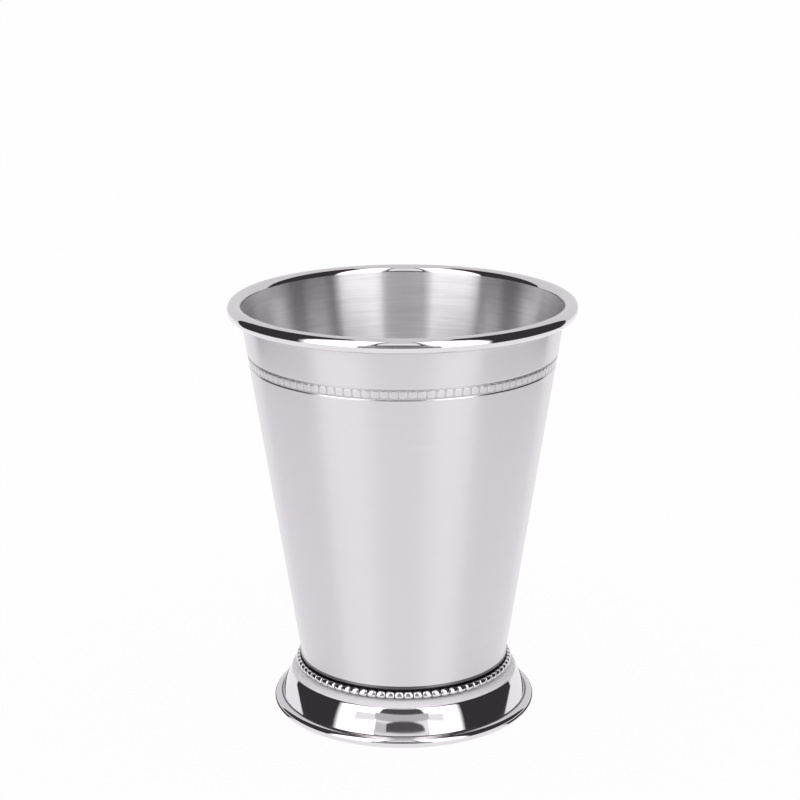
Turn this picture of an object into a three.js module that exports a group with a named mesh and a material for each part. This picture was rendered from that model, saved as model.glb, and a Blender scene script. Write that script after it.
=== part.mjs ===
// A stainless steel drinking cup: a tapered satin wall with a rolled rim and a narrow band, a floor plate,
// and a polished, flared foot with a ring of pearl wire round its neck.
// Millimetres, +Z up. The origin is the centre of the circle that the foot stands on.
import * as THREE from "three";
import { ParametricGeometry } from "three/addons/geometries/ParametricGeometry.js";

// Wall and rim
const RIM_DIAMETER = 90; // over the rolled rim
const CUP_HEIGHT = 109.4; // from the table to the top of the rim
const WALL_TAPER_DEGREES = 8.75; // lean of the wall's side from the upright
const WALL_SHEET = 0.6;
const RIM_ROLL_DIAMETER = 3.85; // the round roll of the rim, outside
const RIM_SLIT = 0.4; // between the end of the roll and the wall below it
const FLARE_RADIUS = 2.2; // of the hollow flare at the wall's lower edge, outside
const FLARE_DEGREES = 35; // how far that flare turns outwards

// Band of two rolled lines below the rim
const BAND_DROP = 14.75; // from the top of the rim to the middle of the band
const BAND_LINE_SPACING = 2.63;
const BAND_LINE_WIDTH = 0.5;
const BAND_LINE_DEPTH = 0.15;

// Floor plate
const FLOOR_SHEET = 0.8;

// Pearl wire
const PEARL_DIAMETER = 1.94;
const PEARL_PITCH = 2.36; // from pearl to pearl round the ring
const PEARL_WAIST_DIAMETER = 1.1; // of the wire between two pearls

// Foot
const FOOT_SHEET = 0.5;
const SEAT_HEIGHT = 10.6; // from the table to the seat that the pearl wire lies on
const SEAT_WIDTH = 0.6; // from the neck out to the edge of the seat
const SHELF_WIDTH = 2.8; // from the edge of the seat out to the shoulder of the skirt
const SHELF_DROP = 1.5; // from the seat down to the shoulder
const NECK_RISE = 1.84; // from the top of the pearls up to where the wall's lower edge begins to flare
const NECK_LAP = 1.2; // from there up to the neck's upper edge, inside the wall
const NECK_FILLET = 0.3; // between the neck and the seat
const FOOT_FLARE = 7.42; // from the edge of the seat out to the widest part of the base
const BASE_BEAD_WIDTH = 3.3;
const BASE_BEAD_HEIGHT = 2.2;
const BASE_FLAT_WIDTH = 1.2; // flat ring that the cup stands on
const BASE_CREASE_RADIUS = 0.3; // of the hollow corner between the skirt and the base bead
const BASE_CURL_DEGREES = 185; // how far the bead is rolled from its outermost line, under and up inside

// Bend of the skirt: its lean from the upright at the shoulder and at the crease, and the shares of its drop
// over which each of them holds
const SHOULDER_LEAN_DEGREES = 27;
const SHOULDER_SHARE = 0.26;
const CREASE_LEAN_DEGREES = 19;
const CREASE_SHARE = 0.415;

// Clearances for the brazed joints
const WALL_FIT = 0.3; // neck and floor inside the wall
const PEARL_FIT = 0.3; // pearl wire on its seat and against the neck

// Number of straight pieces in each round
const TURN_STEPS = 64;
const RIM_ROLL_STEPS = 14;
const RIM_HOLLOW_STEPS = 10;
const FLARE_STEPS = 3;
const FILLET_STEPS = 2;
const SKIRT_STEPS = 7;
const BEAD_STEPS = 7;
const CURL_STEPS = 2;
const PEARL_STEPS = 4;
const PEARL_SIDES = 8;

const RIGHT_ANGLE = Math.PI / 2;

// Wall line: the inner face leans outwards by the taper and runs on into the rim's roll.
const taper = THREE.MathUtils.degToRad(WALL_TAPER_DEGREES);
const rollRadius = RIM_ROLL_DIAMETER / 2;
const rollCentre = new THREE.Vector2(RIM_DIAMETER / 2 - rollRadius, CUP_HEIGHT - rollRadius);
const towardsInside = new THREE.Vector2(-Math.cos(taper), Math.sin(taper));
const rollStart = rollCentre.clone().addScaledVector(towardsInside, rollRadius);
const wallInside = (z) => rollStart.x + (z - rollStart.y) * Math.tan(taper);
const wallOutside = (z) => wallInside(z) + WALL_SHEET / Math.cos(taper);

// Heights and radii of the joints, from the seat upwards
const pearlRadius = PEARL_DIAMETER / 2;
const pearlHeight = SEAT_HEIGHT + PEARL_FIT + pearlRadius;
const wallFootHeight = pearlHeight + pearlRadius + NECK_RISE;
const floorHeight = wallFootHeight + NECK_LAP;
const neckRadius = wallInside(wallFootHeight) - WALL_FIT;
const pearlRingRadius = neckRadius + PEARL_FIT + pearlRadius;
const seatRadius = neckRadius + SEAT_WIDTH;
const baseRadius = seatRadius + FOOT_FLARE;

const satinSteel = () => new THREE.MeshStandardMaterial({ color: 0xc9c9cc, metalness: 1, roughness: 0.35 });
const mirrorSteel = () => new THREE.MeshStandardMaterial({ color: 0xdededf, metalness: 1, roughness: 0.06 });

// Points of an elliptical arc, from one angle to another.
function arc(centre, radiusX, radiusZ, from, to, steps) {
  const curve = new THREE.EllipseCurve(centre.x, centre.y, radiusX, radiusZ, from, to, to < from);
  return curve.getPoints(steps);
}

// A ring turned about Z from a closed profile of (radius, height) points.
function turned(profile) {
  const geometry = new THREE.LatheGeometry([...profile, profile[0]], TURN_STEPS);
  return geometry.rotateX(RIGHT_ANGLE);
}

// The other face of a bent sheet: each point moves square to the line, with mitred corners.
function otherFace(line, sheet) {
  return line.map((point, i) => {
    const before = line[Math.max(i - 1, 0)];
    const after = line[Math.min(i + 1, line.length - 1)];
    const arriving = i > 0 ? point.clone().sub(before) : after.clone().sub(point);
    const leaving = i < line.length - 1 ? after.clone().sub(point) : arriving.clone();
    arriving.normalize();
    leaving.normalize();
    const normal = new THREE.Vector2(arriving.y + leaving.y, -arriving.x - leaving.x).normalize();
    const mitre = normal.x * arriving.y - normal.y * arriving.x;
    return point.clone().addScaledVector(normal, sheet / mitre);
  });
}

function named(name, geometry, material) {
  const mesh = new THREE.Mesh(geometry, material);
  mesh.name = name;
  return mesh;
}

// One rolled line of the band: a V across the wall's outer face, listed downwards.
function bandLine(z) {
  const half = BAND_LINE_WIDTH / 2;
  return [
    new THREE.Vector2(wallOutside(z + half), z + half),
    new THREE.Vector2(wallOutside(z) - BAND_LINE_DEPTH, z),
    new THREE.Vector2(wallOutside(z - half), z - half),
  ];
}

// Wall: one sheet from its flared lower edge up the inside, over the rim's hollow roll, and down the outside.
function makeWall() {
  const startAngle = Math.PI - taper;
  const flareAngle = startAngle + THREE.MathUtils.degToRad(FLARE_DEGREES);
  const flareInside = FLARE_RADIUS + WALL_SHEET;
  const flareCentre = new THREE.Vector2(wallOutside(wallFootHeight), wallFootHeight);
  flareCentre.addScaledVector(towardsInside, -FLARE_RADIUS);
  const openAngle = Math.acos((rollRadius - WALL_SHEET - RIM_SLIT) / rollRadius);
  const endAngle = startAngle - 2 * Math.PI + openAngle;
  const hollowRadius = rollRadius - WALL_SHEET;
  const bandMiddle = CUP_HEIGHT - BAND_DROP;
  const profile = [
    ...arc(flareCentre, flareInside, flareInside, flareAngle, startAngle, FLARE_STEPS),
    ...arc(rollCentre, rollRadius, rollRadius, startAngle, endAngle, RIM_ROLL_STEPS),
    ...arc(rollCentre, hollowRadius, hollowRadius, endAngle, startAngle, RIM_HOLLOW_STEPS),
    ...bandLine(bandMiddle + BAND_LINE_SPACING / 2),
    ...bandLine(bandMiddle - BAND_LINE_SPACING / 2),
    ...arc(flareCentre, FLARE_RADIUS, FLARE_RADIUS, startAngle, flareAngle, FLARE_STEPS),
  ];
  return named("cup_wall", turned(profile.reverse()), satinSteel());
}

// Floor: a flat plate that lies on the neck's upper edge, its rim leaning with the wall.
function makeFloor() {
  const top = floorHeight + FLOOR_SHEET;
  const profile = [
    new THREE.Vector2(0, floorHeight),
    new THREE.Vector2(wallInside(floorHeight) - WALL_FIT, floorHeight),
    new THREE.Vector2(wallInside(top) - WALL_FIT, top),
    new THREE.Vector2(0, top),
  ];
  const geometry = new THREE.LatheGeometry(profile, TURN_STEPS).rotateX(RIGHT_ANGLE);
  return named("cup_floor", geometry, satinSteel());
}

// Pearl wire: a ring whose round section swells to a pearl and draws in to a waist at each pitch.
function makePearlRing() {
  const pearls = Math.round((2 * Math.PI * pearlRingRadius) / PEARL_PITCH);
  const waistRadius = PEARL_WAIST_DIAMETER / 2;
  const pearlSurface = (u, v, target) => {
    const turn = 2 * Math.PI * u;
    const side = 2 * Math.PI * v;
    const swell = Math.sqrt(Math.abs(Math.sin((turn * pearls) / 2)));
    const radius = waistRadius + (pearlRadius - waistRadius) * swell;
    const reach = pearlRingRadius + radius * Math.cos(side);
    target.set(reach * Math.cos(turn), reach * Math.sin(turn), pearlHeight + radius * Math.sin(side));
  };
  const geometry = new ParametricGeometry(pearlSurface, pearls * PEARL_STEPS, PEARL_SIDES);
  return named("pearl_ring", geometry, mirrorSteel());
}

// Foot: one sheet, from the neck's upper edge down to the seat, out over a sloping shelf to the shoulder,
// down the rounded skirt to a hollow corner, and round the base bead to its open curl inside.
function makeFoot() {
  const beadHalfWidth = BASE_BEAD_WIDTH / 2;
  const beadHalfHeight = BASE_BEAD_HEIGHT / 2;
  const flatAngle = Math.acos(BASE_FLAT_WIDTH / BASE_BEAD_WIDTH);
  const curlAngle = -THREE.MathUtils.degToRad(BASE_CURL_DEGREES);
  const beadCentre = new THREE.Vector2(baseRadius - beadHalfWidth, beadHalfHeight * Math.sin(flatAngle));
  const crease = new THREE.Vector2(beadCentre.x, beadCentre.y + beadHalfHeight + BASE_CREASE_RADIUS);
  const fillet = new THREE.Vector2(neckRadius + NECK_FILLET, SEAT_HEIGHT + NECK_FILLET);

  const shoulder = new THREE.Vector2(seatRadius + SHELF_WIDTH, SEAT_HEIGHT - SHELF_DROP);
  const skirtEnd = new THREE.Vector2(crease.x - BASE_CREASE_RADIUS, crease.y);
  const fall = (shoulder.y - skirtEnd.y) * SHOULDER_SHARE;
  const rise = (shoulder.y - skirtEnd.y) * CREASE_SHARE;
  const shoulderLean = Math.tan(THREE.MathUtils.degToRad(SHOULDER_LEAN_DEGREES));
  const creaseLean = Math.tan(THREE.MathUtils.degToRad(CREASE_LEAN_DEGREES));
  const skirt = new THREE.CubicBezierCurve(
    shoulder,
    new THREE.Vector2(shoulder.x + fall * shoulderLean, shoulder.y - fall),
    new THREE.Vector2(skirtEnd.x - rise * creaseLean, skirtEnd.y + rise),
    skirtEnd,
  );

  const line = [
    new THREE.Vector2(neckRadius, floorHeight),
    ...arc(fillet, NECK_FILLET, NECK_FILLET, Math.PI, 3 * RIGHT_ANGLE, FILLET_STEPS),
    new THREE.Vector2(seatRadius, SEAT_HEIGHT),
    ...skirt.getPoints(SKIRT_STEPS),
    ...arc(crease, BASE_CREASE_RADIUS, BASE_CREASE_RADIUS, Math.PI, 3 * RIGHT_ANGLE, FILLET_STEPS).slice(1),
    ...arc(beadCentre, beadHalfWidth, beadHalfHeight, RIGHT_ANGLE, -flatAngle, BEAD_STEPS).slice(1),
    ...arc(beadCentre, beadHalfWidth, beadHalfHeight, flatAngle - Math.PI, curlAngle, CURL_STEPS),
  ];
  const profile = [...otherFace(line, FOOT_SHEET), ...line.reverse()];
  return named("foot", turned(profile), mirrorSteel());
}

const cup = new THREE.Group();
cup.add(makeWall(), makeFloor(), makePearlRing(), makeFoot());

export default cup;
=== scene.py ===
"""Looks of a stainless steel cup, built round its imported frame.

The cup stands on the origin, +Z up, in metres. Every piece is a surface turned about Z: a profile of
(radius, height) points carried round a circle as one numpy grid.
"""

import math

import bmesh
import bpy
import numpy as np
from bpy.props import FloatProperty, FloatVectorProperty, IntProperty, PointerProperty
from mathutils import Matrix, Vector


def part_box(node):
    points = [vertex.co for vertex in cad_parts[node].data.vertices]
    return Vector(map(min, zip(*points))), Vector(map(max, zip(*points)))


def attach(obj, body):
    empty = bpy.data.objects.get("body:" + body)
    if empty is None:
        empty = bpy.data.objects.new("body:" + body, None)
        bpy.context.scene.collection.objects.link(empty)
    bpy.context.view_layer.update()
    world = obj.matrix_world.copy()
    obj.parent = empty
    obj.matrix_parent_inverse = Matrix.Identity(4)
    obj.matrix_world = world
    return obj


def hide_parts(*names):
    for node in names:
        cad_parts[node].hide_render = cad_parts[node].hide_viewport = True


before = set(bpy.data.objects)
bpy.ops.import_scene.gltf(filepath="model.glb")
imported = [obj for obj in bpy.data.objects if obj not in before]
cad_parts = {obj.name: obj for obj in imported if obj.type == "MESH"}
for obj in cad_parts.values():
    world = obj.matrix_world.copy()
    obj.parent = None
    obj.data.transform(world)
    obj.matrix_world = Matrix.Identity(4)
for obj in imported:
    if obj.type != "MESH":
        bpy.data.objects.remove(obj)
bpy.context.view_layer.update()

bl_info = {
    "name": "Stainless Steel Cup",
    "version": (1, 0, 0),
    "blender": (4, 5, 0),
    "location": "View3D > Sidebar > Cup",
    "description": "Builds a satin steel cup with a rolled rim, a ladder band, pearl wire and a bright foot",
    "category": "Add Mesh",
}

MM = 0.001
FULL_TURN = 2 * math.pi
RIGHT_ANGLE = math.pi / 2
WHITE = (1.0, 1.0, 1.0)
BODY = "root"
TURN_MAP = "turn"
WELD = 1e-7

# Columns of each piece. Those of a pad are shares of its pitch, close together at its gap.
PAD_COLUMNS = np.array([0, 0.05, 0.11, 0.2, 0.5, 0.8, 0.89, 0.95])
FLOOR_COLUMNS = 360
PEARL_COLUMNS = 17
PEARL_CROWDING = 1.6
PEARL_SIDES = 28
FOOT_COLUMNS = 440
CARD_STEPS = 24

# Rows of the ladder band: across each rolled line, and over the pads as far as this share of the spacing.
LINE_ROWS = 11
PAD_ROWS = 9
PAD_REACH = 0.42
ROW_DIGITS = 7

# Rows of the wall's flare that stay satin; the flare's lower rows and the rows each side of the foot's
# crease are painted a grey shade.
SATIN_FLARE = 5
CREASE_SHADE_ROWS = 2

# The wide part of the satin's gloss, and a quarter turn that lays the gloss up and down.
HAZE_ROUGHNESS = 0.45
QUARTER_TURN = 0.25

# The studio: the camera's sensor in millimetres, the paper's half width and how far it lies below the foot,
# the share of plain white in its look, the light of the white room, and the share of a softbox that fades.
SENSOR = 36.0
PAPER_HALF = 4.0
PAPER_DROP = 0.02 * MM
PAPER_WHITE = 0.95
SURROUNDINGS = 0.9
SOFTBOX_EDGE = 0.17

WALL_LOW, WALL_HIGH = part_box("cup_wall")
FLOOR_LOW, FLOOR_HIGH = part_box("cup_floor")
PEARL_LOW, PEARL_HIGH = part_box("pearl_ring")
FOOT_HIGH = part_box("foot")[1]

# Upright cards, each with its finish. Angles are degrees from the front, lengths are metres.
CARDS = {
    "softbox_left": ("softbox", dict(start=-67, end=-16, radius=0.42, low=0.0, high=1.29)),
    "softbox_right": ("softbox", dict(start=11, end=57, radius=0.42, low=0.0, high=1.29)),
    "bar_left": ("bar", dict(start=-46, end=-27, radius=0.41, low=0.108, high=0.146, lift=0.02)),
    "bar_right": ("bar", dict(start=23, end=37, radius=0.41, low=0.128, high=0.166, lift=-0.016)),
    "flag_left": ("flag", dict(start=-123, end=-64.7, radius=0.3, low=0.0, high=1.1)),
    "flag_right": ("flag", dict(start=54.7, end=121, radius=0.3, low=0.0, high=1.1)),
    "front_card": ("front", dict(start=-28, end=24, radius=0.4, low=0.0, high=0.3, crowned=True)),
    "front_strip": ("strip", dict(start=-27, end=23, radius=0.395, low=0.13, high=0.169)),
    "front_cloth": ("bar", dict(start=-26, end=22, radius=0.397, low=0.085, high=0.13)),
    "front_dome": ("front", dict(start=-21, end=19, radius=0.393, low=0.0945, high=0.131, crowned=True)),
    "side_card": ("side", dict(start=-26, end=-16, radius=0.39, low=0.09, high=0.118)),
    "back_card": ("back", dict(start=116, end=243, radius=1.0, low=0.0, high=1.3)),
}

# Level cards: two dark cards on the floor beside the foot, a painted shadow of the foot seen only in the
# metal, and the ceiling.
LIDS = {
    "shade_left": ("flag", dict(start=-121, end=-63, inner=0.0348, outer=0.04, height=0.0003)),
    "shade_right": ("flag", dict(start=53, end=120, inner=0.0348, outer=0.04, height=0.0003)),
    "ceiling": ("ceiling", dict(start=0, end=360, inner=0.0, outer=1.0, height=1.3)),
}


def linear(code):
    """Linear red, green and blue of an sRGB hex colour, by the sRGB transfer curve."""
    srgb = np.array([int(code[i:i + 2], 16) for i in (1, 3, 5)]) / 255
    bright = ((srgb + 0.055) / 1.055) ** 2.4
    return tuple(float(x) for x in np.where(srgb <= 0.04045, srgb / 12.92, bright))


def length(name, description, default, least=0.0):
    """A size in metres that a user can set."""
    return FloatProperty(
        name=name, description=description, default=default, min=least, unit="LENGTH", precision=5
    )


def angle(name, description, degrees):
    """An angle that a user can set."""
    return FloatProperty(name=name, description=description, default=math.radians(degrees), unit="ROTATION")


def share(name, description, default):
    """A part of a whole, from 0 to 1."""
    return FloatProperty(
        name=name, description=description, default=default, min=0.0, max=1.0, subtype="FACTOR"
    )


def number(name, description, default):
    """A plain number that a user can set."""
    return FloatProperty(name=name, description=description, default=default)


def count(name, description, default):
    """How many of a thing there are round the cup."""
    return IntProperty(name=name, description=description, default=default, min=8)


def colour(name, description, code):
    """A linear colour that a user can set, given as sRGB hex."""
    return FloatVectorProperty(
        name=name, description=description, default=linear(code), min=0.0, max=1.0, size=3, subtype="COLOR"
    )


class CupWallSizes(bpy.types.PropertyGroup):
    """Sheet wall with its rolled rim and ladder band."""

    sheet: length("Sheet", "Thickness of the wall's sheet", 0.6 * MM)
    taper: angle("Taper", "Lean of the wall from the upright", 8.75)
    roll: length("Rim roll", "Outer diameter of the rolled rim", 3.85 * MM)
    slit: length("Rim slit", "Gap between the end of the roll and the wall", 0.4 * MM)
    flare: length("Flare radius", "Hollow flare at the wall's lower edge", 2.2 * MM)
    flare_turn: angle("Flare turn", "How far the lower edge turns outwards", 35)
    band_drop: length("Band drop", "From the top of the rim to the middle of the band", 14.75 * MM)
    line_spacing: length("Line spacing", "Between the two rolled lines of the band", 2.63 * MM)
    line_width: length("Line width", "Width of a rolled line", 0.5 * MM)
    line_depth: length("Line depth", "Depth of a rolled line", 0.15 * MM)
    cells: count("Cells", "Number of pads round the band", 110)
    cell_gap: length("Cell gap", "Between two pads of the band", 0.32 * MM)
    cell_depth: length("Cell depth", "How far the gaps between the pads are pressed in", 0.06 * MM)
    cell_corner: length("Cell corner", "Corner radius of a pad", 0.5 * MM)


class CupFloorSizes(bpy.types.PropertyGroup):
    """Floor plate with its brazed fillet."""

    fillet: length("Fillet", "Radius of the brazed fillet between the floor and the wall", 1.0 * MM)


class PearlSizes(bpy.types.PropertyGroup):
    """Ring of pearl wire."""

    pearls: count("Pearls", "Number of pearls round the ring", 74)
    waist: length("Waist", "Diameter of the wire between two pearls", 1.1 * MM)
    fullness: number("Fullness", "2 is an ellipse, more is a flatter barrel", 2.0)
    # Beyond this share the gap between two pearls is painted a dark shade.
    gap_shade_start: share("Gap start", "Share of half a pearl beyond which the gap is left unpolished", 0.9)
    squareness: number("Squareness", "2 is a round section, more is a pillow", 2.8)
    facing: angle("Facing", "How far a pearl's flattened face looks up", 22)
    fill: share("Fill", "Size of the flattened pearl as a share of the round one", 0.95)


class FootSizes(bpy.types.PropertyGroup):
    """Spun foot with neck, seat, skirt and base bead."""

    sheet: length("Sheet", "Thickness of the foot's sheet", 0.5 * MM)
    neck_fit: length("Neck fit", "Gap between the neck and the wall's inner face", 0.3 * MM)
    neck_fillet: length("Neck fillet", "Radius between the neck and the seat", 0.3 * MM)
    seat_height: length("Seat height", "From the table to the seat of the pearl wire", 10.6 * MM)
    seat_width: length("Seat width", "From the neck out to the edge of the seat", 0.6 * MM)
    shelf_width: length("Shelf width", "From the edge of the seat out to the shoulder", 2.8 * MM)
    shelf_drop: length("Shelf drop", "From the seat down to the shoulder", 1.5 * MM)
    shelf_crown: length("Shelf crown", "How far the shelf swells above its slope", 0.18 * MM)
    shoulder: length("Shoulder radius", "Rounding between the shelf and the skirt", 0.6 * MM)
    bead_width: length("Bead width", "Width of the base bead", 2.7 * MM)
    bead_height: length("Bead height", "Height of the base bead", 2.7 * MM)
    flat_width: length("Flat width", "Flat that is cut off the bead before its sole is rounded", 1.2 * MM)
    sole: length("Sole radius", "Rounding between the bead and its flat ring", 0.7 * MM)
    crease_turn: angle("Crease turn", "Where round the base bead the skirt meets it", 116)
    shoulder_lean: angle("Shoulder lean", "Lean of the skirt's upper end from the upright", 27)
    shoulder_share: share("Shoulder share", "Share of the drop over which that lean holds", 0.26)
    crease_lean: angle("Crease lean", "Lean of the skirt's lower end from the upright", 19)
    crease_share: share("Crease share", "Share of the drop over which that lean holds", 0.415)
    curl: angle("Curl", "How far the bead's sheet is rolled from its outermost line", 185)


class SteelColours(bpy.types.PropertyGroup):
    """Colours of the steel's finishes, some of them painted shade or light, of the floor and of the cards.
    """

    satin: colour("Satin", "Satin steel outside", "#e4e1e4")
    satin_low: colour("Satin lines", "Brushing lines in the satin steel", "#dfdcdf")
    brushed: colour("Brushed", "Brushed steel inside", "#f8f6f8")
    brushed_low: colour("Brushed lines", "Brushing lines inside", "#d4d1d4")
    polished: colour("Polished", "Mirror polished steel", "#e4e1e4")
    # The shelf's near-white tone is painted light.
    shelf: colour("Shelf", "Grained steel below the pearls", "#f8f6f8")
    # The crease colour is painted shade, for the foot's crease and the wall's lower edge.
    crease: colour("Crease", "Buffed steel above the base bead and at the wall's lower edge", "#757275")
    # The pressed ground colour is painted shade between the pads.
    pressed: colour("Pressed ground", "Pressed steel between the pads of the band", "#c4c1c4")
    # This dark grey is painted shade in the pearls' gaps and on the foot's neck.
    recess_shade: colour("Groove", "Unpolished steel in the grooves", "#5c595c")
    floor: colour("Floor", "Paper that the cup stands on", "#f2f2f2")
    flag: colour("Flag", "Dark cards that give the metal its dark bands", "#3a383a")
    front: colour("Front card", "Dark grey card in front of the cup", "#545254")
    strip: colour("Strip", "Light grey strip across the front card", "#c8c8c8")
    side: colour("Side card", "Light grey card before the front card", "#d2d2d2")
    back: colour("Back card", "Light grey card behind the cup", "#e2e2e2")
    ceiling: colour("Ceiling", "Light grey card above the cup", "#e0e0e0")


class StudioSizes(bpy.types.PropertyGroup):
    """Camera and light."""

    lens: number("Lens", "Focal length in millimetres", 93.57)
    camera_side: length("Camera side", "Camera off the axis", -0.74 * MM, least=-1.0)
    camera_back: length("Camera distance", "Camera in front of the cup", 520.0 * MM)
    camera_height: length("Camera height", "Camera above the table", 225.95 * MM)
    camera_tilt: angle("Camera tilt", "How far the camera looks down", 15.423)
    camera_roll: angle("Camera roll", "How far the camera leans sideways", -0.213)
    softbox_level: number("Softbox level", "Brightness of a softbox, 1 is white", 1.9)


def way(turn):
    """One step in the profile's plane, at an angle from the outward radius: (cos turn, sin turn)."""
    return np.array([math.cos(turn), math.sin(turn)])


def arc(centre, radii, start, end, steps):
    """Points of an elliptical arc: centre + radii * (cos a, sin a), with a from start to end in radians."""
    turn = np.linspace(start, end, steps)
    return np.asarray(centre) + np.column_stack([np.cos(turn), np.sin(turn)]) * radii


def straight(start, end, steps):
    """Evenly spaced points from start to end."""
    return np.linspace(start, end, steps)


def bend(start, lean, rise, end, steps):
    """Cubic Bezier curve through start and end, with lean and rise as its two control points."""
    t = np.linspace(0, 1, steps)[:, None]
    s = 1 - t
    return s**3 * start + 3 * s**2 * t * lean + 3 * s * t**2 * rise + t**3 * end


def other_face(points, sheet):
    """The other face of a bent sheet: each point moved square to the line by the sheet's thickness."""
    along = np.gradient(points, axis=0)
    along /= np.linalg.norm(along, axis=1, keepdims=True)
    return points + sheet * np.column_stack([along[:, 1], -along[:, 0]])


def in_a_row(parts, finishes):
    """The points of a profile's parts in one row, and for each point the number of its part's finish."""
    line = np.vstack([points for _, points in parts])
    finish = np.concatenate([np.full(len(points), finishes.index(made)) for made, points in parts])
    return line, finish


def whole_turn(columns):
    """Evenly spaced angles once round a circle."""
    return np.linspace(0, FULL_TURN, columns, endpoint=False)


def turned(name, turns, radius, height, finishes, finish, closed=True):
    """A surface of revolution: (r cos a, r sin a, z) for each angle a in turns and each row of the profile.

    Radius and height have one column for each profile point, which run up the outside and down the inside,
    so the faces point outwards. finish holds material numbers in the same layout. An open profile starts
    and ends on the axis. U runs once round the turn and V is the length along the profile in metres.
    """
    columns, rows = len(turns), np.shape(radius)[-1]
    radius = np.broadcast_to(radius, (columns, rows))
    height = np.broadcast_to(height, (columns, rows))
    grid = np.stack([radius * np.cos(turns)[:, None], radius * np.sin(turns)[:, None], height], axis=-1)

    spans = rows if closed else rows - 1
    here, up = np.meshgrid(np.arange(columns), np.arange(spans), indexing="ij")
    corner_turn = np.stack([here, here + 1, here + 1, here], axis=-1).reshape(-1, 4)
    corner_row = np.stack([up, up, up + 1, up + 1], axis=-1).reshape(-1, 4)
    faces = (corner_turn % columns) * rows + corner_row % rows

    round_share = np.append(turns, turns[0] + FULL_TURN) / FULL_TURN
    steps = np.hypot(np.diff(radius[0], append=radius[0, 0]), np.diff(height[0], append=height[0, 0]))
    along = np.concatenate([[0], np.cumsum(steps)])
    uv = np.stack([round_share[corner_turn], along[corner_row]], axis=-1)

    mesh = bpy.data.meshes.new(name)
    mesh.vertices.add(columns * rows)
    mesh.vertices.foreach_set("co", grid.astype(np.float32).ravel())
    mesh.loops.add(faces.size)
    mesh.loops.foreach_set("vertex_index", faces.astype(np.int32).ravel())
    mesh.polygons.add(len(faces))
    mesh.polygons.foreach_set("loop_start", np.arange(0, faces.size, 4, dtype=np.int32))
    face_finish = np.broadcast_to(finish, (columns, rows))[here, up].astype(np.int32)
    mesh.polygons.foreach_set("material_index", face_finish.ravel())
    mesh.uv_layers.new(name=TURN_MAP).uv.foreach_set("vector", uv.astype(np.float32).ravel())
    mesh.update(calc_edges=True)
    if not closed:
        weld(mesh)
    mesh.shade_smooth()
    colours = bpy.context.scene.cup_colours
    for made in finishes:
        mesh.materials.append(made(colours))
    piece = bpy.data.objects.new(name, mesh)
    bpy.context.scene.collection.objects.link(piece)
    return piece


def weld(mesh):
    """Merges the points that lie together on the axis."""
    work = bmesh.new()
    work.from_mesh(mesh)
    bmesh.ops.remove_doubles(work, verts=work.verts, dist=WELD)
    work.to_mesh(mesh)
    work.free()


def dress(piece, node):
    """The piece rides with the cup and stands for its CAD node, which is hidden."""
    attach(piece, BODY)
    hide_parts(node)


def add(tree, kind, inputs=None, **settings):
    """Adds one node: settings are its own options, inputs maps sockets to values or to other outputs."""
    made = tree.nodes.new(kind)
    for key, value in settings.items():
        setattr(made, key, value)
    for key, value in (inputs or {}).items():
        if isinstance(value, bpy.types.NodeSocket):
            tree.links.new(value, made.inputs[key])
        else:
            made.inputs[key].default_value = value
    return made


def material(name):
    """An empty node material and its tree, or the one of that name and no tree if it is made already."""
    found = bpy.data.materials.get(name)
    if found:
        return found, None
    made = bpy.data.materials.new(name)
    made.use_nodes = True
    made.node_tree.nodes.clear()
    return made, made.node_tree


def opaque(tone):
    """Four numbers for a colour socket."""
    return (*tone, 1.0)


def brushing(tree, spacing, run):
    """Noise drawn out round the cup: lines at that spacing up the wall, each as long as run."""
    place = add(tree, "ShaderNodeTexCoord")
    scaled = add(
        tree,
        "ShaderNodeMapping",
        {"Vector": place.outputs["Object"], "Scale": (1 / run, 1 / run, 1 / spacing)},
    )
    return add(
        tree,
        "ShaderNodeTexNoise",
        {"Vector": scaled.outputs["Vector"], "Scale": 1.0, "Detail": 3.0, "Roughness": 0.65},
    )


def brushed_metal(name, high, low, spacing, run, roughness, spread, relief, anisotropic, haze=0.0):
    """Steel with brushing lines round the cup.

    The lines scatter light up and down far more than sideways, so lamps show as upright bands. The haze is
    the share of the light that the lines scatter over nearly all heights. Real lines lie about 0.1 mm
    apart, which is too fine to show, so they are drawn as coarse as they need to be.
    """
    made, tree = material(name)
    if tree is None:
        return made
    lines = brushing(tree, spacing, run)
    tone = add(
        tree,
        "ShaderNodeMix",
        {"Factor": lines.outputs["Fac"], "A": opaque(low), "B": opaque(high)},
        data_type="RGBA",
    )
    rough = add(
        tree,
        "ShaderNodeMapRange",
        {"Value": lines.outputs["Fac"], "To Min": roughness + spread, "To Max": roughness - spread},
    )
    bump = add(
        tree,
        "ShaderNodeBump",
        {"Height": lines.outputs["Fac"], "Distance": relief, "Strength": 1.0},
    )
    tangent = add(tree, "ShaderNodeTangent", direction_type="UV_MAP", uv_map=TURN_MAP)
    shared = {
        "Base Color": tone.outputs["Result"],
        "Metallic": 1.0,
        "Anisotropic Rotation": QUARTER_TURN,
        "Normal": bump.outputs["Normal"],
        "Tangent": tangent.outputs["Tangent"],
    }
    gloss = {**shared, "Roughness": rough.outputs["Result"], "Anisotropic": anisotropic}
    steel = add(tree, "ShaderNodeBsdfPrincipled", gloss)
    if haze:
        wide_gloss = {**shared, "Roughness": HAZE_ROUGHNESS, "Anisotropic": 1.0}
        wide = add(tree, "ShaderNodeBsdfPrincipled", wide_gloss)
        steel = add(
            tree,
            "ShaderNodeMixShader",
            {0: haze, 1: steel.outputs["BSDF"], 2: wide.outputs["BSDF"]},
        )
    add(tree, "ShaderNodeOutputMaterial", {"Surface": steel.outputs[0]})
    return made


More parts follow.
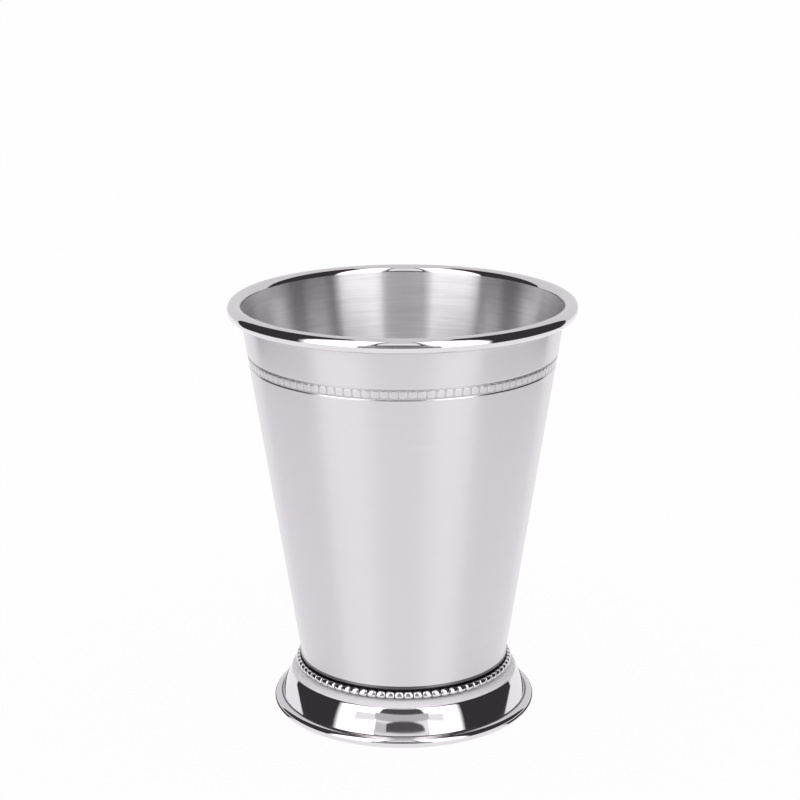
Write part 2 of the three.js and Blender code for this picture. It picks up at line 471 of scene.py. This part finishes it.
def satin_outside(colours):
    """Stainless sheet finished with a fine abrasive belt: an even pale satin with soft upright bands."""
    return brushed_metal(
        "satin_stainless_steel",
        high=colours.satin,
        low=colours.satin_low,
        spacing=0.5 * MM,
        run=30 * MM,
        roughness=0.22,
        spread=0.03,
        relief=0.004 * MM,
        anisotropic=0.4,
        haze=0.24,
    )


def brushed_inside(colours):
    """Stainless sheet brushed with a coarser wheel: sharper upright bands and faint level lines."""
    return brushed_metal(
        "brushed_stainless_steel",
        high=colours.brushed,
        low=colours.brushed_low,
        spacing=0.7 * MM,
        run=14 * MM,
        roughness=0.29,
        spread=0.03,
        relief=0.002 * MM,
        anisotropic=1.0,
    )


def mirror_polish(colours):
    """Stainless steel polished with a buffing wheel: a mirror with a slight swell, about 9 mm across."""
    made, tree = material("polished_stainless_steel")
    if tree is None:
        return made
    place = add(tree, "ShaderNodeTexCoord")
    swell = add(
        tree,
        "ShaderNodeTexNoise",
        {"Vector": place.outputs["Object"], "Scale": 1 / (9 * MM), "Detail": 1.0},
    )
    haze = add(
        tree,
        "ShaderNodeMapRange",
        {"Value": swell.outputs["Fac"], "To Min": 0.03, "To Max": 0.07},
    )
    bump = add(
        tree,
        "ShaderNodeBump",
        {"Height": swell.outputs["Fac"], "Distance": 0.02 * MM, "Strength": 1.0},
    )
    steel = add(
        tree,
        "ShaderNodeBsdfPrincipled",
        {
            "Base Color": opaque(colours.polished),
            "Metallic": 1.0,
            "Roughness": haze.outputs["Result"],
            "Normal": bump.outputs["Normal"],
        },
    )
    add(tree, "ShaderNodeOutputMaterial", {"Surface": steel.outputs["BSDF"]})
    return made


def plain_metal(name, tone, roughness, grain=0.0):
    """Bare steel of one gloss. The grain is how much a speckle of 0.4 mm lightens and darkens its tone."""
    made, tree = material(name)
    if tree is None:
        return made
    inputs = {"Base Color": opaque(tone), "Metallic": 1.0, "Roughness": roughness}
    if grain:
        place = add(tree, "ShaderNodeTexCoord")
        speckle = add(
            tree,
            "ShaderNodeTexNoise",
            {"Vector": place.outputs["Object"], "Scale": 1 / (0.4 * MM), "Detail": 1.0},
        )
        light = add(
            tree,
            "ShaderNodeMapRange",
            {"Value": speckle.outputs["Fac"], "To Min": 1 - grain, "To Max": 1 + grain},
        )
        inputs["Base Color"] = add(
            tree,
            "ShaderNodeVectorMath",
            {0: tone, "Scale": light.outputs["Result"]},
            operation="SCALE",
        ).outputs["Vector"]
    steel = add(tree, "ShaderNodeBsdfPrincipled", inputs)
    add(tree, "ShaderNodeOutputMaterial", {"Surface": steel.outputs["BSDF"]})
    return made


def recess_painted_shade(colours):
    """Dark grey steel with a weak gloss: painted shade in the pearls' gaps and on the foot's neck, where
    shade falls.
    """
    return plain_metal("painted_shade_recess_steel", colours.recess_shade, roughness=0.35)


def crease_painted_shade(colours):
    """Grey steel in the foot's crease and at the wall's lower edge: painted shade that draws thin grey
    lines.
    """
    return plain_metal("painted_shade_crease_steel", colours.crease, roughness=0.3)


def pad_gap_painted_shade(colours):
    """Grey steel between the pads of the band: painted shade that draws thin grey outlines."""
    return plain_metal("painted_shade_pad_gap_steel", colours.pressed, roughness=0.4)


def shelf_painted_light(colours):
    """Stainless steel below the pearls: a slightly grainy satin, made bright by painted light."""
    return plain_metal("painted_light_shelf_steel", colours.shelf, roughness=0.9, grain=0.05)


# Finishes of each piece, in the order of its material numbers; some are painted shade or painted light.
WALL_FINISHES = (satin_outside, brushed_inside, mirror_polish, crease_painted_shade, pad_gap_painted_shade)
FLOOR_FINISHES = (brushed_inside,)
PEARL_FINISHES = (mirror_polish, recess_painted_shade)
FOOT_FINISHES = (mirror_polish, recess_painted_shade, shelf_painted_light, crease_painted_shade)


class WallLine:
    """Faces of the tapered wall and its rim roll, from the frame's box and the wall's sizes."""

    def __init__(self, size):
        self.roll_radius = size.roll / 2
        self.slope = math.tan(size.taper)
        self.centre = np.array([WALL_HIGH.x - self.roll_radius, WALL_HIGH.z - self.roll_radius])
        inwards = way(math.pi - size.taper)
        self.start = self.centre + inwards * self.roll_radius
        self.across = size.sheet / math.cos(size.taper)
        turn = size.flare_turn - size.taper
        rise = size.flare * math.sin(size.taper) + (size.flare + size.sheet) * math.sin(turn)
        self.foot = WALL_LOW.z + rise
        self.flare_centre = np.array([self.outside(self.foot), self.foot]) - inwards * size.flare

    def inside(self, height):
        """Radius of the wall's inner face at a height."""
        return self.start[0] + (height - self.start[1]) * self.slope

    def outside(self, height):
        """Radius of the wall's outer face at a height."""
        return self.inside(height) + self.across


def smooth_step(low, high, value):
    """0 below low, 1 above high and a smooth rise between them."""
    t = np.clip((value - low) / (high - low), 0, 1)
    return t * t * (3 - 2 * t)


def ladder_band(size, turns, height, middle, radius):
    """How far the band is pressed into the wall at each angle and height, and where no pad is.

    Two rolled lines are bell curves across the wall. Between them the ground is pressed in, apart from
    a row of pads: rounded rectangles, by their distance from the edge.
    """
    up = np.abs(height - middle)[None, :]
    line = size.line_spacing / 2
    bell = size.line_width / 2.5
    lines = size.line_depth * np.exp(-(((up - line) / bell) ** 2))

    pitch = FULL_TURN * radius / size.cells
    place = (turns * size.cells / FULL_TURN) % 1 - 0.5
    side = np.abs(place * pitch)[:, None]
    half_wide = (pitch - size.cell_gap) / 2
    half_tall = (size.line_spacing - size.line_width - size.cell_gap) / 2
    out_side = np.maximum(side - half_wide + size.cell_corner, 0)
    out_up = np.maximum(up - half_tall + size.cell_corner, 0)
    outside = np.hypot(out_side, out_up) - size.cell_corner
    ground = size.cell_depth * smooth_step(-size.cell_gap / 2, size.cell_gap / 2, outside)
    between = smooth_step(line + size.line_width / 4, line, up)
    return np.maximum(lines, ground * between), outside > 0


class CUP_OT_wall(bpy.types.Operator):
    """Tapered wall: one sheet with a rolled rim and a ladder band"""

    bl_idname = "cup.wall"
    bl_label = "Cup wall"

    def execute(self, context):
        size = context.scene.cup_wall
        wall = WallLine(size)
        foot = wall.foot
        half = size.sheet / 2
        start = math.pi - size.taper

        # The rim's roll turns outwards and down, and ends a slit away from the wall.
        opening = math.acos((wall.roll_radius - size.sheet - size.slit) / wall.roll_radius)
        end = start - FULL_TURN + opening
        hollow = wall.roll_radius - size.sheet
        lip = wall.centre + (wall.roll_radius - half) * way(end)

        # The rows of the outer face lie close together only where the band is.
        middle = WALL_HIGH.z - size.band_drop
        line = size.line_spacing / 2
        reach = line + size.line_width
        line_rows = np.linspace(-size.line_width, size.line_width, LINE_ROWS)
        pad_rows = np.linspace(-PAD_REACH, PAD_REACH, PAD_ROWS) * size.line_spacing
        drop = np.concatenate([line_rows + line, pad_rows, line_rows - line])
        band = middle + np.unique(np.round(drop, ROW_DIGITS))[::-1]
        top = wall.start[1] - size.sheet * math.sin(size.taper)
        above = np.linspace(top, middle + reach, num=4)[:-1]
        below = np.linspace(middle - reach, foot, num=5)[1:]
        outer = np.concatenate([above, band, below])

        flare_end = start + size.flare_turn - half / (size.flare + half)
        flare = arc(wall.flare_centre, size.flare, start, flare_end, steps=10)
        edge = wall.flare_centre + (size.flare + half) * way(flare_end)
        parts = [
            (brushed_inside, arc(wall.flare_centre, size.flare + size.sheet, flare_end, start, steps=8)),
            (brushed_inside, straight((wall.inside(foot), foot), wall.start, steps=4)[1:-1]),
            (mirror_polish, arc(wall.centre, wall.roll_radius, start, end, steps=32)),
            (mirror_polish, arc(lip, half, end, end - math.pi, steps=7)[1:-1]),
            (mirror_polish, arc(wall.centre, hollow, end, start, steps=12)[:-1]),
            (satin_outside, np.column_stack([wall.outside(outer), outer])),
            (satin_outside, flare[1:SATIN_FLARE]),
            # The flare's lower rows and the wall's rounded edge are painted a grey shade.
            (crease_painted_shade, flare[SATIN_FLARE:]),
            (crease_painted_shade, arc(edge, half, flare_end - math.pi, flare_end - FULL_TURN, steps=7)[1:-1]),
        ]
        profile, finish = in_a_row(parts, WALL_FINISHES)
        finish = np.roll(finish[::-1], -1)
        plain_radius, height = profile[::-1].T

        turns = ((np.arange(size.cells)[:, None] + PAD_COLUMNS[None, :]) * FULL_TURN / size.cells).ravel()
        below_roll = height < wall.centre[1] - wall.roll_radius
        outward = (plain_radius > wall.inside(height) + half) & below_roll
        push, _ = ladder_band(size, turns, height, middle, wall.outside(middle))
        radius = plain_radius[None, :] - push * outward[None, :]

        # A face between the lines and off the pads, on the pressed ground, is painted a grey shade.
        halfway = np.diff(turns, append=FULL_TURN) / 2
        across = (height + np.roll(height, -1)) / 2
        _, bare = ladder_band(size, turns + halfway, across, middle, wall.outside(middle))
        in_band = outward & (np.abs(across - middle) < line)
        finish = np.where(bare & in_band[None, :], WALL_FINISHES.index(pad_gap_painted_shade), finish[None, :])

        piece = turned("wall", turns, radius, height, WALL_FINISHES, finish)
        dress(piece, "cup_wall")
        return {"FINISHED"}


class CUP_OT_floor(bpy.types.Operator):
    """Floor plate with the brazed fillet that joins it to the wall"""

    bl_idname = "cup.floor"
    bl_label = "Cup floor"

    def execute(self, context):
        wall = WallLine(context.scene.cup_wall)
        fillet = context.scene.cup_floor.fillet
        under, top = FLOOR_LOW.z, FLOOR_HIGH.z

        # The fillet's arc touches the leaning wall above and the plate below.
        lean = context.scene.cup_wall.taper
        level = top + fillet
        centre = np.array([wall.inside(level) - fillet / math.cos(lean), level])
        touch = centre + fillet * way(-lean)
        profile = np.vstack(
            [
                straight((0, under), (wall.inside(under), under), steps=4),
                straight((wall.inside(under), under), touch, steps=3)[1:],
                arc(centre, fillet, -lean, -RIGHT_ANGLE, steps=9)[1:],
                straight((centre[0], top), (0, top), steps=24)[1:],
            ]
        )
        turns = whole_turn(FLOOR_COLUMNS)
        finish = np.zeros(len(profile))
        piece = turned("floor_plate", turns, *profile.T, FLOOR_FINISHES, finish, closed=False)
        dress(piece, "cup_floor")
        return {"FINISHED"}


class CUP_OT_pearl_ring(bpy.types.Operator):
    """Ring of pearl wire: slightly flattened pearls on a thinner wire"""

    bl_idname = "cup.pearl_ring"
    bl_label = "Pearl ring"

    def execute(self, context):
        size = context.scene.cup_pearls
        round_pearl = (PEARL_HIGH.z - PEARL_LOW.z) / 2
        ring = PEARL_HIGH.x - round_pearl
        height = (PEARL_HIGH.z + PEARL_LOW.z) / 2
        pitch = FULL_TURN * ring / size.pearls

        # Along the wire a pearl swells from the waist as an ellipse, with its columns crowded at the gaps.
        pearl = round_pearl * size.fill
        waist = size.waist / 2
        place = np.linspace(-1, 1, PEARL_COLUMNS + 1)[:-1]
        place = np.sign(place) * (1 - (1 - np.abs(place)) ** PEARL_CROWDING)
        along = place * pitch / 2
        thick = waist + (pearl - waist) * (1 - np.abs(place) ** size.fullness) ** (1 / size.fullness)
        turns = ((np.arange(size.pearls)[:, None] * pitch + along[None, :]) / ring).ravel()

        # Across the wire it is a squared circle: |cos a| ** n + |sin a| ** n = 1, turned to its facing.
        side = whole_turn(PEARL_SIDES)[None, :]
        power = size.squareness
        square = np.abs(np.cos(side - size.facing)) ** power + np.abs(np.sin(side - size.facing)) ** power
        swell = np.tile(thick, size.pearls)[:, None] * square ** (-1 / power)
        radius = ring + swell * np.cos(side)

        edges = np.append(place, 1)
        # Faces near each gap between two pearls are painted a dark shade.
        painted_gap_mask = np.abs(edges[1:] + edges[:-1]) / 2 > size.gap_shade_start
        recess_shade = PEARL_FINISHES.index(recess_painted_shade)
        finish = np.tile(painted_gap_mask * recess_shade, size.pearls)[:, None]
        piece = turned("pearl_wire", turns, radius, height + swell * np.sin(side), PEARL_FINISHES, finish)
        dress(piece, "pearl_ring")
        return {"FINISHED"}


class CUP_OT_foot(bpy.types.Operator):
    """Spun foot: neck, seat, shelf, skirt, crease and base bead from one sheet"""

    bl_idname = "cup.foot"
    bl_label = "Foot"

    def execute(self, context):
        size = context.scene.cup_foot
        wall = WallLine(context.scene.cup_wall)

        # The bead is an ellipse that stands on a flat, with a small arc on each side of the flat.
        half = np.array([size.bead_width / 2, size.bead_height / 2])
        flat = math.acos(size.flat_width / size.bead_width)
        bead = np.array([FOOT_HIGH.x - half[0], half[1] * math.sin(flat)])
        reach = math.sqrt((half[0] - size.sole) ** 2 - (bead[1] - size.sole) ** 2)
        dip = math.atan2(bead[1] - size.sole, reach)
        roll = arc(bead, half, size.crease_turn, -dip, steps=33)
        outer_sole = (bead[0] + reach, size.sole)
        inner_sole = (bead[0] - reach, size.sole)

        neck = wall.inside(wall.foot) - size.neck_fit
        fillet = np.array([neck + size.neck_fillet, size.seat_height + size.neck_fillet])
        seat = np.array([neck + size.seat_width, size.seat_height])
        corner = seat + (size.shelf_width, -size.shelf_drop)

        # The shelf swells a little, and the shoulder is rounded between its slope and the skirt's lean.
        slope = math.atan2(size.shelf_drop, size.shelf_width)
        turning = RIGHT_ANGLE - size.shoulder_lean - slope
        upward = way(RIGHT_ANGLE - slope)
        back = corner - way(-slope) * size.shoulder * math.tan(turning / 2)
        round_centre = back - size.shoulder * upward
        rounding = arc(round_centre, size.shoulder, RIGHT_ANGLE - slope, size.shoulder_lean, steps=7)
        swell = size.shelf_crown * (1 - np.linspace(-1, 1, num=9) ** 2)
        shelf = straight(seat, back, steps=9) + swell[:, None] * upward

        # The skirt leaves the shoulder and reaches the crease at its two leans.
        crease = roll[0]
        fall = (corner[1] - crease[1]) * size.shoulder_share
        rise = (corner[1] - crease[1]) * size.crease_share
        upper = corner + (fall * math.tan(size.shoulder_lean), -fall)
        lower = crease + (-rise * math.tan(size.crease_lean), rise)
        skirt = bend(rounding[-1], upper, lower, crease, steps=33)

        parts = [
            # The neck and its fillet behind the pearls are painted a dark shade.
            (recess_painted_shade, straight((neck, FOOT_HIGH.z), (neck, fillet[1]), steps=5)),
            (recess_painted_shade, arc(fillet, size.neck_fillet, math.pi, 3 * RIGHT_ANGLE, steps=5)[1:]),
            # The shelf's tone is painted light.
            (shelf_painted_light, shelf[:-1]),
            (mirror_polish, rounding),
            (mirror_polish, skirt[1:-CREASE_SHADE_ROWS]),
            # The rows each side of the crease are painted a grey shade.
            (crease_painted_shade, skirt[-CREASE_SHADE_ROWS:-1]),
            (crease_painted_shade, roll[:CREASE_SHADE_ROWS]),
            (mirror_polish, roll[CREASE_SHADE_ROWS:]),
            (mirror_polish, arc(outer_sole, size.sole, -dip, -RIGHT_ANGLE, steps=7)[1:]),
            (mirror_polish, arc(inner_sole, size.sole, -RIGHT_ANGLE, dip - math.pi, steps=7)),
            (mirror_polish, arc(bead, half, dip - math.pi, -size.curl, steps=9)[1:]),
        ]
        line, finish = in_a_row(parts, FOOT_FINISHES)
        profile = np.vstack([line[::-1], other_face(line, size.sheet)])
        inner_finish = np.full(len(line), FOOT_FINISHES.index(mirror_polish))
        finish = np.concatenate([np.roll(finish[::-1], -1), inner_finish])
        turns = whole_turn(FOOT_COLUMNS)
        piece = turned("spun_foot", turns, *profile.T, FOOT_FINISHES, finish)
        dress(piece, "foot")
        return {"FINISHED"}


def panel(name, made, start, end, radius, low, high, crowned=False, lift=0.0):
    """An upright card bent round the cup: radius * (sin a, -cos a), with a from start to end in degrees.

    A crowned card has a half ellipse for its upper edge: low + (high - low) * sqrt(1 - u * u). A lifted one
    rises evenly from start to end.
    """
    across = np.linspace(-1, 1, CARD_STEPS + 1)
    turn = np.radians(start + (end - start) * (across + 1) / 2)
    rise = np.sqrt(1 - across**2) if crowned else np.ones(across.size)
    ring = radius * np.column_stack([np.sin(turn), -np.cos(turn)])
    base = low + lift * (across + 1) / 2
    lower = np.column_stack([ring, base])
    upper = np.column_stack([ring, base + (high - low) * rise])
    hang(name, made, lower, upper)


def lid(name, made, start, end, inner, outer, height):
    """A level card round the cup's axis: from inner to outer radius, and from start to end in degrees."""
    turn = np.radians(np.linspace(start, end, CARD_STEPS + 1))
    ring = np.column_stack([np.sin(turn), -np.cos(turn), np.zeros(turn.size)])
    hang(name, made, ring * inner + (0, 0, height), ring * outer + (0, 0, height))


def hang(name, made, lower, upper):
    """Adds a card between two lines that only the metal sees: camera, shadows and diffuse light pass it."""
    first = np.arange(CARD_STEPS)[:, None]
    corner = first + np.array([[0, 1, 1, 0]])
    faces = corner + np.array([[0, 0, 1, 1]]) * (CARD_STEPS + 1)
    mesh = bpy.data.meshes.new(name)
    mesh.from_pydata(np.vstack([lower, upper]).tolist(), [], faces.tolist())
    uv = np.stack([corner / CARD_STEPS, np.broadcast_to([[0, 0, 1, 1]], corner.shape)], axis=-1)
    mesh.uv_layers.new(name=TURN_MAP).uv.foreach_set("vector", uv.astype(np.float32).ravel())
    mesh.materials.append(made)
    card = bpy.data.objects.new(name, mesh)
    bpy.context.scene.collection.objects.link(card)
    card.visible_camera = False
    card.visible_diffuse = False
    card.visible_shadow = False


def softbox_cloth(level, edge):
    """White cloth of a softbox: even in the middle, with a soft fall-off over that share of each side."""
    made, tree = material("softbox_cloth")
    if tree is None:
        return made
    place = add(tree, "ShaderNodeUVMap", uv_map=TURN_MAP)
    across = add(tree, "ShaderNodeSeparateXYZ", {"Vector": place.outputs["UV"]})
    start = add(
        tree,
        "ShaderNodeMapRange",
        {"Value": across.outputs["X"], "From Max": edge, "To Max": level},
        interpolation_type="SMOOTHSTEP",
    )
    end = add(
        tree,
        "ShaderNodeMapRange",
        {"Value": across.outputs["X"], "From Min": 1 - edge, "To Min": level, "To Max": 0.0},
        interpolation_type="SMOOTHSTEP",
    )
    least = add(
        tree,
        "ShaderNodeMath",
        {0: start.outputs["Result"], 1: end.outputs["Result"]},
        operation="MINIMUM",
    )
    light = add(tree, "ShaderNodeEmission", {"Color": opaque(WHITE), "Strength": least.outputs["Value"]})
    add(tree, "ShaderNodeOutputMaterial", {"Surface": light.outputs["Emission"]})
    return made


def glowing(name, tone):
    """A card that shows one even tone in the metal."""
    made, tree = material(name)
    if tree:
        light = add(tree, "ShaderNodeEmission", {"Color": opaque(tone), "Strength": 1.0})
        add(tree, "ShaderNodeOutputMaterial", {"Surface": light.outputs["Emission"]})
    return made


def seen_directly(tree):
    """1 for camera, mirror and glass rays, which see the white background."""
    path = add(tree, "ShaderNodeLightPath")
    either = add(
        tree,
        "ShaderNodeMath",
        {0: path.outputs["Is Camera Ray"], 1: path.outputs["Is Glossy Ray"]},
        operation="MAXIMUM",
    )
    return add(
        tree,
        "ShaderNodeMath",
        {0: either.outputs["Value"], 1: path.outputs["Is Transmission Ray"]},
        operation="MAXIMUM",
    )


def paper_floor(colours):
    """White studio paper: even white to the eye and in the metal, darker only in the cup's shadow."""
    made, tree = material("white_studio_paper")
    if tree is None:
        return made
    paper = add(tree, "ShaderNodeBsdfDiffuse", {"Color": opaque(colours.floor)})
    white = add(tree, "ShaderNodeEmission", {"Color": opaque(WHITE), "Strength": 1.0})
    part = add(
        tree,
        "ShaderNodeMath",
        {0: seen_directly(tree).outputs["Value"], 1: PAPER_WHITE},
        operation="MULTIPLY",
    )
    mixed = add(
        tree,
        "ShaderNodeMixShader",
        {0: part.outputs["Value"], 1: paper.outputs["BSDF"], 2: white.outputs["Emission"]},
    )
    add(tree, "ShaderNodeOutputMaterial", {"Surface": mixed.outputs["Shader"]})
    return made


def place_camera(scene, size):
    """Camera before the cup, looking down by its tilt and leaning by its roll."""
    lens = bpy.data.cameras.new("camera")
    lens.lens = size.lens
    lens.sensor_width = SENSOR
    camera = bpy.data.objects.new("camera", lens)
    camera.location = (size.camera_side, -size.camera_back, size.camera_height)
    tilt = Matrix.Rotation(RIGHT_ANGLE - size.camera_tilt, 3, "X")
    roll = Matrix.Rotation(size.camera_roll, 3, "Z")
    camera.rotation_euler = (tilt @ roll).to_euler()
    scene.collection.objects.link(camera)
    scene.camera = camera


def lay_paper(scene, colours):
    """One square sheet of paper just below the foot."""
    half = PAPER_HALF
    sheet = bpy.data.meshes.new("floor")
    corners = [(-half, -half), (half, -half), (half, half), (-half, half)]
    sheet.from_pydata([(x, y, -PAPER_DROP) for x, y in corners], [], [(0, 1, 2, 3)])
    sheet.materials.append(paper_floor(colours))
    floor = bpy.data.objects.new("floor", sheet)
    scene.collection.objects.link(floor)


def light_surroundings(scene):
    """White surroundings to the eye and in the metal, which give slightly less light to the floor."""
    world = bpy.data.worlds.new("white_studio")
    world.use_nodes = True
    tree = world.node_tree
    tree.nodes.clear()
    level = add(
        tree,
        "ShaderNodeMapRange",
        {"Value": seen_directly(tree).outputs["Value"], "To Min": SURROUNDINGS, "To Max": 1.0},
    )
    sky = add(tree, "ShaderNodeBackground", {"Color": opaque(WHITE), "Strength": level.outputs["Result"]})
    add(tree, "ShaderNodeOutputWorld", {"Surface": sky.outputs["Background"]})
    scene.world = world


class CUP_OT_stage(bpy.types.Operator):
    """Camera, white floor and world, two softboxes and the cards that shape the metal"""

    bl_idname = "cup.stage"
    bl_label = "Studio"

    def execute(self, context):
        scene = context.scene
        colours = scene.cup_colours
        place_camera(scene, scene.cup_studio)
        lay_paper(scene, colours)
        light_surroundings(scene)

        made = {
            "softbox": softbox_cloth(scene.cup_studio.softbox_level, SOFTBOX_EDGE),
            "flag": glowing("black_card", colours.flag),
            "front": glowing("front_card", colours.front),
            "bar": glowing("white_bar", WHITE),
            "strip": glowing("front_strip", colours.strip),
            "side": glowing("side_card", colours.side),
            "back": glowing("back_card", colours.back),
            "ceiling": glowing("ceiling_card", colours.ceiling),
        }
        for name, (finish, place) in CARDS.items():
            panel(name, made[finish], **place)
        for name, (finish, place) in LIDS.items():
            lid(name, made[finish], **place)
        scene.view_settings.view_transform = "Standard"
        return {"FINISHED"}


class CUP_PT_panel(bpy.types.Panel):
    """Lists the sizes, the colours and the steps that build the cup"""

    bl_label = "Stainless steel cup"
    bl_idname = "CUP_PT_panel"
    bl_space_type = "VIEW_3D"
    bl_region_type = "UI"
    bl_category = "Cup"

    def draw(self, context):
        for group in GROUPS:
            box = self.layout.box()
            settings = getattr(context.scene, group)
            for name in settings.__annotations__:
                box.prop(settings, name)
        for operator in OPERATORS:
            self.layout.operator(operator.bl_idname)


GROUPS = {
    "cup_wall": CupWallSizes,
    "cup_floor": CupFloorSizes,
    "cup_pearls": PearlSizes,
    "cup_foot": FootSizes,
    "cup_colours": SteelColours,
    "cup_studio": StudioSizes,
}
OPERATORS = (CUP_OT_wall, CUP_OT_floor, CUP_OT_pearl_ring, CUP_OT_foot, CUP_OT_stage)


def register():
    """Registers the settings, operators and panel."""
    for name, group in GROUPS.items():
        bpy.utils.register_class(group)
        setattr(bpy.types.Scene, name, PointerProperty(type=group))
    for kind in (*OPERATORS, CUP_PT_panel):
        bpy.utils.register_class(kind)


def unregister():
    """Removes what register added."""
    for kind in (CUP_PT_panel, *reversed(OPERATORS)):
        bpy.utils.unregister_class(kind)
    for name, group in reversed(GROUPS.items()):
        delattr(bpy.types.Scene, name)
        bpy.utils.unregister_class(group)


def main():
    register()
    bpy.ops.cup.stage()
    bpy.ops.cup.wall()
    bpy.ops.cup.floor()
    bpy.ops.cup.pearl_ring()
    bpy.ops.cup.foot()


if __name__ == "__main__":
    main()
